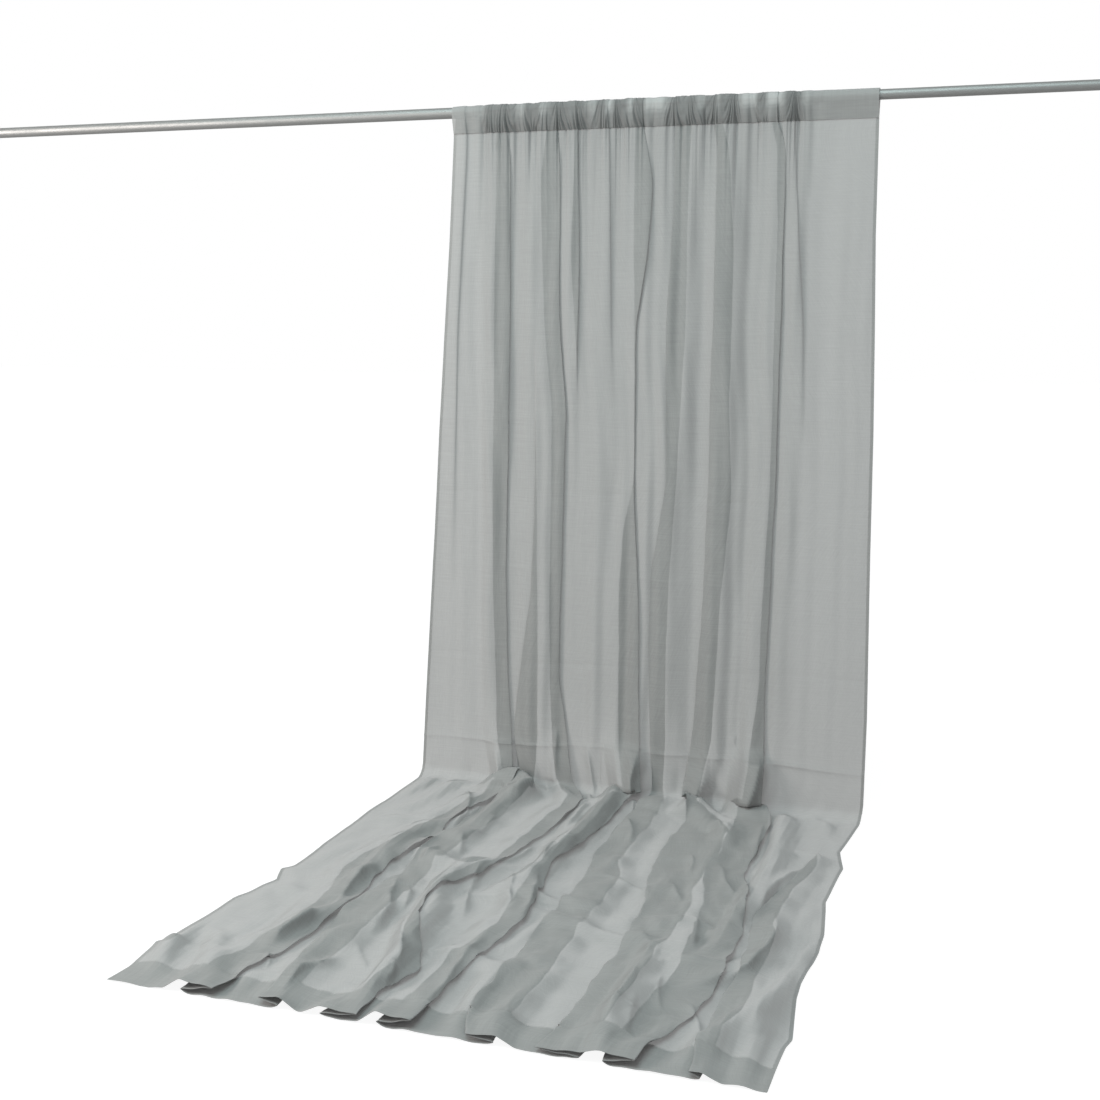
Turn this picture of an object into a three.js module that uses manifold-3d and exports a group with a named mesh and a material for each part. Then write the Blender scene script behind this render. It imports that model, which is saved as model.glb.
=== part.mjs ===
// A sheer rod-pocket curtain on a telescopic rod, held by two wall brackets, its foot spread
// over the floor in a long train. Units are millimetres. +X runs along the rod, +Z is up and -Y
// faces the room. The wall is the plane y = 0, the rod's axis is at z = 0, and x = 0 is midway
// between the brackets, so the floor is the plane z = -ROD_HEIGHT.
import * as THREE from "three";
import { mergeVertices } from "three/addons/utils/BufferGeometryUtils.js";
import Module from "manifold-3d";

// Driving dimensions
const ROD_HEIGHT = 2440;
const BRACKET_SPAN = 4270;
const PROJECTION = 90;
const CLEARANCE = 0.3;
const ROUND_STEPS = 32;
const SMALL_ROUND_STEPS = 16;

const OUTER_TUBE = { radius: 19.05, wall: 1, length: 2400 };
const INNER_TUBE = { radius: 16.5, wall: 1, length: 2395 };
const ROD_OVERHANG = 45;
const BUSH = { length: 40, lip: 2, wall: 1 };
const END_PLUG = { length: 22, bore: 3.3 };
const FINIAL = { radius: 24, length: 38, stud: 3, studLength: 16, edge: 3, groove: 1.5 };

const PLATE = { radius: 38, edge: 3, thickness: 7, screwRadius: 27 };
const BOSS = { radius: 14, length: 34, floor: 10 };
const ARM_RADIUS = 8;
const CRADLE = { wall: 5, width: 24, lipAngle: 10, padRadius: 11, padDepth: 5 };
const THUMB_SCREW = { shank: 2.5, neck: 3, headRadius: 7, headHeight: 6, lobes: 8, lobeDepth: 0.6 };
const GRUB_SCREW = { radius: 2, socket: 1.1, reach: 13.5, along: 22 };
const WALL_SCREW = { shank: 2.1, head: 4.8, headDepth: 2.6, inWall: 36, tip: 5, cross: 1.1 };

const POCKET_WIDTH = 1479;
const POCKET_DROP = 72;
const POCKET_START = 2066;
const PANEL_TOP = { left: 0, right: POCKET_WIDTH };
const PANEL_FOOT = { left: -150, right: 1505 };
const TRAIN_FRONT = { left: -235, right: 1538 };
const TRAIN_LENGTH = 1870;
const BEND_RADIUS = 60;
const BEND_STEPS = 3;
const HEM_DEPTH = 108;
const SIDE_HEM_WIDTH = 24;
const CLOTH = { thickness: 1.5, folds: 12, pointsPerFold: 6 };
const WAVE = { top: 12, foot: 24, train: 8 };

const FLOOR = -ROD_HEIGHT;
const ROD_Y = -PROJECTION;
const LEFT = -BRACKET_SPAN / 2;
const RIGHT = BRACKET_SPAN / 2;
const CURTAIN_X = LEFT + POCKET_START;

// Materials, one look for each kind of stuff
const finish = (color, roughness, metalness, more = {}) =>
  new THREE.MeshStandardMaterial({ color, roughness, metalness, ...more });
const tubeMetal = finish(0xa9a9a7, 0.34, 1);
const bracketMetal = finish(0x9d9d9b, 0.42, 1);
const screwSteel = finish(0x8f9092, 0.38, 1);
const nylon = finish(0xd8d8d4, 0.55, 0);
const voile = finish(0xa6a7a3, 0.85, 0, { transparent: true, opacity: 0.55, side: THREE.DoubleSide });
const doubledVoile = finish(0x888985, 0.85, 0, { transparent: true, opacity: 0.8, side: THREE.DoubleSide });

// Joining and cutting of closed meshes
const wasm = await Module();
wasm.setup();

function toSolid(geometry) {
  const bare = geometry.clone();
  bare.deleteAttribute("normal");
  bare.deleteAttribute("uv");
  const merged = mergeVertices(bare, 1e-4);
  return new wasm.Manifold(
    new wasm.Mesh({
      numProp: 3,
      vertProperties: new Float32Array(merged.attributes.position.array),
      triVerts: new Uint32Array(merged.index.array),
    }),
  );
}

function toGeometry(solid) {
  const { vertProperties, triVerts } = solid.getMesh();
  const geometry = new THREE.BufferGeometry();
  geometry.setAttribute("position", new THREE.BufferAttribute(vertProperties, 3));
  geometry.setIndex(new THREE.BufferAttribute(triVerts, 1));
  geometry.computeVertexNormals();
  return geometry;
}

function combine(base, { add = [], cut = [] }) {
  let solid = toSolid(base);
  for (const piece of add) {
    solid = solid.add(toSolid(piece));
  }
  for (const tool of cut) {
    solid = solid.subtract(toSolid(tool));
  }
  return toGeometry(solid);
}

// Round pieces: a profile of [radius, distance] pairs turned about an axis, with distance counted along it
const turned = (profile, steps = ROUND_STEPS) =>
  new THREE.LatheGeometry(
    profile.map(([radius, distance]) => new THREE.Vector2(radius, distance)),
    steps,
  );
const rod = (radius, length, steps = ROUND_STEPS) =>
  turned([[0, 0], [radius, 0], [radius, length], [0, length]], steps);
const pipe = (outer, inner, length) =>
  turned([[inner, 0], [outer, 0], [outer, length], [inner, length], [inner, 0]]);
const towardsRight = (geometry) => geometry.rotateZ(-Math.PI / 2);
const towardsLeft = (geometry) => geometry.rotateZ(Math.PI / 2);
const towardsRoom = (geometry) => geometry.rotateX(Math.PI);
const upwards = (geometry) => geometry.rotateX(Math.PI / 2);

// Flat outlines drawn with x towards the room and y upwards, extruded along the rod and centred on it
const SECTION_BASIS = new THREE.Matrix4().makeBasis(
  new THREE.Vector3(0, -1, 0),
  new THREE.Vector3(0, 0, 1),
  new THREE.Vector3(-1, 0, 0),
);
function sectionAlongRod(shape, width) {
  return new THREE.ExtrudeGeometry(shape, { depth: width, bevelEnabled: false, curveSegments: ROUND_STEPS })
    .translate(0, 0, -width / 2)
    .applyMatrix4(SECTION_BASIS);
}

// The rod
function outerTube() {
  const { radius, wall, length } = OUTER_TUBE;
  return towardsRight(pipe(radius, radius - wall, length));
}

function innerTube() {
  const { radius, wall, length } = INNER_TUBE;
  return towardsRight(pipe(radius, radius - wall, length));
}

// A sleeve in the mouth of the outer tube, with a lip against the tube's end
function joinerBush() {
  const sleeveRadius = OUTER_TUBE.radius - OUTER_TUBE.wall - CLEARANCE;
  const bore = sleeveRadius - BUSH.wall;
  const lipStart = BUSH.length + CLEARANCE;
  const profile = [
    [bore, 0],
    [sleeveRadius, 0],
    [sleeveRadius, lipStart],
    [OUTER_TUBE.radius, lipStart],
    [OUTER_TUBE.radius, lipStart + BUSH.lip],
    [bore, lipStart + BUSH.lip],
    [bore, 0],
  ];
  return towardsRight(turned(profile));
}

// A plug pressed into a tube's end, threaded for the finial's stud
function endPlug(tube) {
  return pipe(tube.radius - tube.wall - CLEARANCE, END_PLUG.bore, END_PLUG.length);
}

// A plain round cap with a softened edge and a shadow groove, on a threaded stud
function finial() {
  const { radius, length, stud, studLength, edge, groove } = FINIAL;
  const grooveStart = length * 0.3;
  const roundedEdge = [20, 45, 70].map((degrees) => {
    const angle = THREE.MathUtils.degToRad(degrees);
    return [radius - edge + edge * Math.cos(angle), length - edge + edge * Math.sin(angle)];
  });
  return turned([
    [0, -studLength],
    [stud, -studLength],
    [stud, 0],
    [radius - 1, 0],
    [radius, 1],
    [radius, grooveStart],
    [radius - groove, grooveStart],
    [radius - groove, grooveStart + 2 * groove],
    [radius, grooveStart + 2 * groove],
    [radius, length - edge],
    ...roundedEdge,
    [radius - edge, length],
    [0, length],
  ]);
}

// The brackets
function wallScrewHole() {
  const { shank, head, headDepth } = WALL_SCREW;
  const seat = PLATE.thickness - headDepth - 2 * CLEARANCE;
  const hole = turned([
    [0, -1],
    [shank + 2 * CLEARANCE, -1],
    [shank + 2 * CLEARANCE, seat - headDepth],
    [head + 2 * CLEARANCE, seat],
    [head + 2 * CLEARANCE, BOSS.length],
    [0, BOSS.length],
  ], SMALL_ROUND_STEPS);
  return towardsRoom(hole);
}

// A domed round plate with a socket boss for the arm; its back lies on the wall at y = 0
function wallPlate() {
  const bore = ARM_RADIUS + CLEARANCE;
  const body = turned([
    [0, 0],
    [PLATE.radius, 0],
    [PLATE.radius, PLATE.edge],
    [PLATE.radius - 4, PLATE.edge + 2],
    [BOSS.radius + 2, PLATE.thickness],
    [BOSS.radius, PLATE.thickness + 3],
    [BOSS.radius, BOSS.length],
    [bore, BOSS.length],
    [bore, BOSS.floor],
    [0, BOSS.floor],
  ]);
  const grubHole = upwards(rod(GRUB_SCREW.radius + CLEARANCE, BOSS.radius + 2, SMALL_ROUND_STEPS));
  return combine(towardsRoom(body), {
    cut: [
      wallScrewHole().translate(0, 0, PLATE.screwRadius),
      wallScrewHole().translate(0, 0, -PLATE.screwRadius),
      grubHole.translate(0, -GRUB_SCREW.along, 0),
    ],
  });
}

// A countersunk wood screw with a cross recess; its head sits in the plate and its point is in the wall
function wallScrew() {
  const { shank, head, headDepth, inWall, tip, cross } = WALL_SCREW;
  const top = PLATE.thickness - headDepth;
  const body = towardsRoom(turned([
    [0, -inWall],
    [shank, tip - inWall],
    [shank, top - headDepth],
    [head, top],
    [0, top],
  ], SMALL_ROUND_STEPS));
  const arms = [
    new THREE.BoxGeometry(cross, 2 * cross, head),
    new THREE.BoxGeometry(head, 2 * cross, cross),
  ];
  return combine(body, { cut: arms.map((arm) => arm.translate(0, -top, 0)) });
}

// A headless screw that locks the arm in the boss, with a hexagon socket in its upper end
function grubScrew() {
  const { radius, socket, reach } = GRUB_SCREW;
  const start = ARM_RADIUS + CLEARANCE;
  return combine(upwards(rod(radius, reach - start, SMALL_ROUND_STEPS)).translate(0, 0, start), {
    cut: [upwards(rod(socket, reach, 6)).translate(0, 0, reach - 2.5)],
  });
}

function arm(cradleBack) {
  const start = BOSS.floor + CLEARANCE;
  return towardsRoom(rod(ARM_RADIUS, PROJECTION - cradleBack - CLEARANCE - start).translate(0, start, 0));
}

const cradleBack = (tube) => tube.radius + CLEARANCE + CRADLE.wall + CRADLE.padDepth;

// An open saddle under the tube, with a pad that meets the arm and a tapped hole for the thumb screw
function cradle(tube) {
  const inner = tube.radius + CLEARANCE;
  const outer = inner + CRADLE.wall;
  const lip = THREE.MathUtils.degToRad(CRADLE.lipAngle);
  const saddle = new THREE.Shape();
  saddle.absarc(0, 0, outer, lip, Math.PI - lip, true);
  saddle.absarc(0, 0, inner, Math.PI - lip, lip, false);
  saddle.closePath();
  const padStart = outer - CRADLE.wall / 2;
  const pad = rod(CRADLE.padRadius, outer + CRADLE.padDepth - padStart).translate(0, padStart, 0);
  const screwHole = upwards(rod(THUMB_SCREW.shank + CLEARANCE, outer, SMALL_ROUND_STEPS));
  const tubeSpace = towardsRight(rod(inner, 4 * outer)).translate(-2 * outer, 0, 0);
  return combine(sectionAlongRod(saddle, CRADLE.width), {
    add: [pad],
    cut: [screwHole.translate(0, 0, -1.5 * outer), tubeSpace],
  });
}

// A screw with a lobed head for the fingers, driven up through the saddle against the tube
function thumbScrew(tube) {
  const { shank, neck, headRadius, headHeight, lobes, lobeDepth } = THUMB_SCREW;
  const length = CRADLE.wall + neck;
  const steps = lobes * 6;
  const outline = Array.from({ length: steps }, (_, i) => {
    const angle = (2 * Math.PI * i) / steps;
    const radius = headRadius + lobeDepth * Math.cos(lobes * angle);
    return new THREE.Vector2(radius * Math.cos(angle), radius * Math.sin(angle));
  });
  const lobed = new THREE.Shape(outline);
  const head = new THREE.ExtrudeGeometry(lobed, { depth: headHeight, bevelEnabled: false });
  const stem = upwards(rod(shank, length + 1, SMALL_ROUND_STEPS));
  const screw = combine(head.translate(0, 0, -headHeight), { add: [stem.translate(0, 0, -1)] });
  return screw.translate(0, 0, -tube.radius - CLEARANCE - length);
}

// The curtain: solids that keep the cloth's place and size, each a run of rings round a waved sheet
function sheetRing({ y, z, tilt, left, right, wave, thickness }) {
  const steps = wave > 0 ? CLOTH.folds * CLOTH.pointsPerFold : 1;
  const normal = new THREE.Vector3(0, -Math.cos(tilt), Math.sin(tilt));
  const side = (offset) =>
    Array.from({ length: steps + 1 }, (_, i) => {
      const share = i / steps;
      const rise = wave * Math.sin(2 * Math.PI * CLOTH.folds * share) + offset;
      const x = THREE.MathUtils.lerp(left, right, share);
      return new THREE.Vector3(x, y, z).addScaledVector(normal, rise);
    });
  return [...side(thickness / 2), ...side(-thickness / 2).reverse()];
}

// Skins a list of rings that have the same number of points, and closes both ends. A ring goes out
// along the cloth's front and comes back along its rear, and both faces are split along the same
// diagonals, so that they stay one thickness apart where the cloth twists.
function skinned(rings) {
  const count = rings[0].length;
  const half = count / 2;
  const indices = [];
  for (let r = 0; r + 1 < rings.length; r += 1) {
    for (let i = 0; i < count; i += 1) {
      const [a, b] = [r * count + i, r * count + ((i + 1) % count)];
      const [c, d] = [a + count, b + count];
      indices.push(...(i < half ? [a, c, b, b, c, d] : [a, c, d, a, d, b]));
    }
  }
  const last = (rings.length - 1) * count;
  for (let i = 0; i + 1 < half; i += 1) {
    const [a, b, c, d] = [i, i + 1, count - 1 - i, count - 2 - i];
    indices.push(a, b, c, b, d, c);
    indices.push(last + a, last + c, last + b, last + b, last + c, last + d);
  }
  const positions = rings.flat().flatMap((point) => point.toArray());
  const geometry = new THREE.BufferGeometry();
  geometry.setAttribute("position", new THREE.Float32BufferAttribute(positions, 3));
  geometry.setIndex(indices);
  geometry.computeVertexNormals();
  return geometry;
}

// Where the middle of the cloth is: down from the pocket, round onto the floor, then out across it
const HANG_TOP = -POCKET_DROP - CLEARANCE;
const TRAIN_REST = FLOOR + WAVE.train + CLOTH.thickness / 2;
const HANG_FOOT = TRAIN_REST + BEND_RADIUS;
const TRAIN_BACK_Y = ROD_Y - BEND_RADIUS;
const TRAIN_END_Y = ROD_Y - TRAIN_LENGTH;
const HEM_START_Y = TRAIN_END_Y + HEM_DEPTH;

const between = (from, to, share) => ({
  left: CURTAIN_X + THREE.MathUtils.lerp(from.left, to.left, share),
  right: CURTAIN_X + THREE.MathUtils.lerp(from.right, to.right, share),
});
const trainShare = (y) => (TRAIN_BACK_Y - y) / (TRAIN_BACK_Y - TRAIN_END_Y);

// Stations down the cloth; each gives the cloth's place, its slope and the two edges of the full width
const hanging = (z, share) => ({ y: ROD_Y, z, tilt: 0, ...between(PANEL_TOP, PANEL_FOOT, share) });
const lying = (y) => ({
  y,
  z: TRAIN_REST,
  tilt: Math.PI / 2,
  ...between(PANEL_FOOT, TRAIN_FRONT, trainShare(y)),
});
function bending(step) {
  const angle = (step / BEND_STEPS) * (Math.PI / 2);
  return {
    y: TRAIN_BACK_Y + BEND_RADIUS * Math.cos(angle),
    z: HANG_FOOT - BEND_RADIUS * Math.sin(angle),
    tilt: angle,
    ...between(PANEL_FOOT, PANEL_FOOT, 0),
  };
}

// The cloth between its two side hems
const field = (station) => ({
  ...station,
  left: station.left + SIDE_HEM_WIDTH + CLEARANCE,
  right: station.right - SIDE_HEM_WIDTH - CLEARANCE,
  thickness: CLOTH.thickness,
});
// One side hem: a flat double strip along an edge
const edgeStrip = (station, side) => {
  const left = side === "left" ? station.left : station.right - SIDE_HEM_WIDTH;
  return { ...station, left, right: left + SIDE_HEM_WIDTH, wave: 0, thickness: 2 * CLOTH.thickness };
};

const hangingStations = [hanging(HANG_TOP, 0), hanging(HANG_FOOT + CLEARANCE, 1)];
const bendStations = Array.from({ length: BEND_STEPS + 1 }, (_, step) => bending(step));
const trainStations = [lying(TRAIN_BACK_Y - CLEARANCE), lying(HEM_START_Y + CLEARANCE)];
const hemStations = [lying(HEM_START_Y), lying(TRAIN_END_Y)];

const hangingPanel = () =>
  skinned(hangingStations.map((s, i) => sheetRing({ ...field(s), wave: i ? WAVE.foot : WAVE.top })));
const floorBend = () =>
  skinned(
    bendStations.map((s, i) => {
      const wave = THREE.MathUtils.lerp(WAVE.foot, WAVE.train, i / BEND_STEPS);
      return sheetRing({ ...field(s), wave });
    }),
  );
const train = () => skinned(trainStations.map((s) => sheetRing({ ...field(s), wave: WAVE.train })));
const bottomHem = () =>
  skinned(
    hemStations.map((s) =>
      sheetRing({ ...s, wave: WAVE.train - CLOTH.thickness / 2, thickness: 2 * CLOTH.thickness }),
    ),
  );
const hangingEdge = (side) =>
  skinned([...hangingStations, ...bendStations.slice(1)].map((s) => sheetRing(edgeStrip(s, side))));
const trainEdge = (side) => skinned(trainStations.map((s) => sheetRing(edgeStrip(s, side))));

// The pocket: a teardrop round the rod that runs down to the stitch line, open at both ends
function rodPocket() {
  const radius = OUTER_TUBE.radius + 3 * CLEARANCE;
  const skin = 2 * CLOTH.thickness;
  const outer = radius + skin;
  const lean = Math.asin(outer / POCKET_DROP);
  const drop = new THREE.Shape();
  drop.moveTo(skin / 2, -POCKET_DROP);
  drop.absarc(0, 0, outer, -lean, Math.PI + lean, false);
  drop.lineTo(-skin / 2, -POCKET_DROP);
  drop.closePath();
  const hole = new THREE.Path();
  hole.absarc(0, 0, radius, 0, 2 * Math.PI, true);
  drop.holes.push(hole);
  return sectionAlongRod(drop, POCKET_WIDTH);
}

// Assembly
function place(group, name, geometry, material, x = 0, y = 0, z = 0) {
  const mesh = new THREE.Mesh(geometry, material);
  mesh.name = name;
  mesh.position.set(x, y, z);
  group.add(mesh);
}

function buildRod() {
  const group = new THREE.Group();
  group.position.y = ROD_Y;
  const leftEnd = LEFT - ROD_OVERHANG;
  const rightEnd = RIGHT + ROD_OVERHANG;
  const mouth = leftEnd + OUTER_TUBE.length;
  place(group, "outer_tube", outerTube(), tubeMetal, leftEnd);
  place(group, "inner_tube", innerTube(), tubeMetal, rightEnd - INNER_TUBE.length);
  place(group, "joiner_bush", joinerBush(), nylon, mouth - BUSH.length);
  place(group, "left_end_plug", towardsRight(endPlug(OUTER_TUBE)), nylon, leftEnd);
  place(group, "right_end_plug", towardsLeft(endPlug(INNER_TUBE)), nylon, rightEnd);
  place(group, "left_finial", towardsLeft(finial()), tubeMetal, leftEnd - CLEARANCE);
  place(group, "right_finial", towardsRight(finial()), tubeMetal, rightEnd + CLEARANCE);
  return group;
}

function buildBracket(side, x, tube) {
  const group = new THREE.Group();
  group.position.x = x;
  place(group, `${side}_wall_plate`, wallPlate(), bracketMetal);
  place(group, `${side}_upper_wall_screw`, wallScrew(), screwSteel, 0, 0, PLATE.screwRadius);
  place(group, `${side}_lower_wall_screw`, wallScrew(), screwSteel, 0, 0, -PLATE.screwRadius);
  place(group, `${side}_arm_grub_screw`, grubScrew(), screwSteel, 0, -GRUB_SCREW.along);
  place(group, `${side}_arm`, arm(cradleBack(tube)), bracketMetal);
  place(group, `${side}_cradle`, cradle(tube), bracketMetal, 0, ROD_Y);
  place(group, `${side}_cradle_screw`, thumbScrew(tube), screwSteel, 0, ROD_Y);
  return group;
}

function buildCurtain() {
  const group = new THREE.Group();
  const pocketMiddle = CURTAIN_X + POCKET_WIDTH / 2;
  place(group, "rod_pocket", rodPocket(), doubledVoile, pocketMiddle, ROD_Y);
  place(group, "hanging_panel", hangingPanel(), voile);
  place(group, "floor_bend", floorBend(), voile);
  place(group, "train", train(), voile);
  place(group, "bottom_hem", bottomHem(), doubledVoile);
  for (const side of ["left", "right"]) {
    place(group, `${side}_side_hem`, hangingEdge(side), doubledVoile);
    place(group, `${side}_train_hem`, trainEdge(side), doubledVoile);
  }
  return group;
}

const curtainOnRod = new THREE.Group();
curtainOnRod.name = "curtain_on_rod";
curtainOnRod.add(buildRod());
curtainOnRod.add(buildBracket("left", LEFT, OUTER_TUBE));
curtainOnRod.add(buildBracket("right", RIGHT, INNER_TUBE));
curtainOnRod.add(buildCurtain());

export default curtainOnRod;
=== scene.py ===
"""A sheer rod-pocket curtain on a telescopic rod, its foot spread over the floor in a long train.

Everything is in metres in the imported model's frame: +X along the rod, +Z up, -Y into the room.
The cloth is made row by row. A row is the cloth's section at one distance down from the rod, and
a table of folds says where the cloth doubles back on itself in each row.
"""
import math

import bpy
import numpy as np
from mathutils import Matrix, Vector


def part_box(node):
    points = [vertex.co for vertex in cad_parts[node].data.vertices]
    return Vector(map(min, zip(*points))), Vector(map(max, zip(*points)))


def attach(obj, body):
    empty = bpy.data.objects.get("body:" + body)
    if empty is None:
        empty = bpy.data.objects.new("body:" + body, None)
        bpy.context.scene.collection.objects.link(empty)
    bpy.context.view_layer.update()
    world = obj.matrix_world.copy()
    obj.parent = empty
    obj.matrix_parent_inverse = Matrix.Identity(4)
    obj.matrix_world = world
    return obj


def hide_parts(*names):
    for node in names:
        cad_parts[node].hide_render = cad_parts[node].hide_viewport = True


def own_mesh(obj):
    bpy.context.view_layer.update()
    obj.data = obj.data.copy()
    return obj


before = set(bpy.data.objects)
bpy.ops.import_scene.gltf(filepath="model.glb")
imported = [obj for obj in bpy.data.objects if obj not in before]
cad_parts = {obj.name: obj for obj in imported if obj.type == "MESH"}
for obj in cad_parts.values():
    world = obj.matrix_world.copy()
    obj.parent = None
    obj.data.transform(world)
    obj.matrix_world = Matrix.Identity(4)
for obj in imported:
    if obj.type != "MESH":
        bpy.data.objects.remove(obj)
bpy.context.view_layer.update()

# Places taken from the CAD
ROD_LOW, ROD_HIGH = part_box("outer_tube")
ROD_Y = (ROD_LOW.y + ROD_HIGH.y) / 2
ROD_RADIUS = (ROD_HIGH.z - ROD_LOW.z) / 2
POCKET_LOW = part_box("rod_pocket")[0]
PANEL_X = POCKET_LOW.x
STITCH_DROP = -POCKET_LOW.z
FLOOR_Z = -2.44
DROP = -FLOOR_Z
TRAIN_END = ROD_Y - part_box("bottom_hem")[0].y
HEM_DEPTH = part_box("bottom_hem")[1].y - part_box("bottom_hem")[0].y

# The cloth as it was cut, and how it leaves the vertical and lies on the floor
DEPTH_AT_FOOT = 0.022
CLOTH_LIFT = 0.003
BEND_RADIUS = 0.045

# Mesh density
COLUMNS = 760
ROW_STEP = 0.015
SAMPLES = 2600
FINE_STEP = 0.005

# How soft the folds are, hung and on the floor, and how far apart their layers lie
TURN_BLUR_HUNG = 0.0110
TURN_BLUR_LAID = 0.0050
LIMIT_BLUR = 0.035
LAYER_GAP = 0.0055

# How far a fold's sides stray on its way down, and the width from which its layers lie fully apart
STRAY_HUNG = 0.0015
STRAY_LAID = 0.0070
FULL_FOLD = 0.014

# Ripples: their lengths across the cloth, then their heights
HUNG_RIPPLES = (0.23, 0.137, 0.083, 0.047), (0.0065, 0.0048, 0.0028, 0.0014)
LAID_RIPPLES = (0.19, 0.117, 0.071), (0.0020, 0.0018, 0.0012)

# Tucks round the rod: the pitch and height of the wide and the narrow ones, how much higher the wide
# ones are in a cluster, how soon they fade below the stitching, and the mean of their section
WIDE_TUCK_PITCH = 0.026
NARROW_TUCK_PITCH = 0.0117
WIDE_TUCK = 0.0016
NARROW_TUCK = 0.0044
CLUSTER_TUCK = 0.0034
TUCK_FADE = 0.14
MEAN_TUCK = 0.64

# Packing creases: height, width, and how far they drift up and down
CREASE_HEIGHT = 0.0022
CREASE_WIDTH = 0.006
BROAD_SWAY = 0.012
FINE_SWAY = 0.004

# Shares of the simulated wrinkles and of the ridges' lean
CRUMPLE_SHARE = 0.8
RIDGE_LEAN = 0.35

# The turn value makes the cloth cover more where it turns, and darkens its colour there as painted shade.
# How much for a fold's side, the cloth near it when hung and on the floor, a steep place, the pocket's
# tucks and its clusters, hanging cloth, its gathered middle and the top of that, and, the other way,
# where the pocket is pressed on the bright rod, which gets a painted highlight of the rod in its colour.
FOLD_TURN = 0.20
NEAR_TURN_HUNG = 0.07
NEAR_TURN_LAID = 0.30
CURVE_REACH = 0.022
STEEP_TURN = 1.3
POCKET_TURN = 3.0
CLUSTER_TURN = 0.40
HUNG_TURN = 0.05
GATHERED_TURN = 0.07
TOP_TURN = 0.20
TOP_REACH = 0.45
PRESSED_ROD_HIGHLIGHT = 1.0

# The hems, the pocket, and the middle of the cloth that is gathered on the rod
SIDE_HEM = 0.010
HEM_GAP = 0.0012
POCKET_CLEARANCE = 0.0012
POCKET_AROUND = 0.17
GATHERED_FROM = 0.09
GATHERED_TO = 1.22

THREAD_PITCH = 0.0009
SEED = 7

# Outline of the cloth: distance down the cloth, left edge, right edge, in mm from the pocket's left end.
# Distances over DROP are on the floor.
OUTLINE = [
    (0, 0, 1479), (80, -1, 1479), (449, -22, 1481), (758, -44, 1489), (1111, -67, 1497),
    (1500, -88, 1501), (2071, -125, 1510), (2367, -144, 1508), (2440, -149, 1502), (2723, -150, 1474),
    (2880, -157, 1505), (3178, -158, 1493), (3412, -155, 1527), (3440, -184, 1528), (3524, -155, 1531),
    (3720, -201, 1516), (3815, -208, 1520), (4042, -222, 1548), (4060, -246, 1549), (4097, -238, 1541),
    (4222, -218, 1538), (4326, -235, 1537),
]

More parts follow.
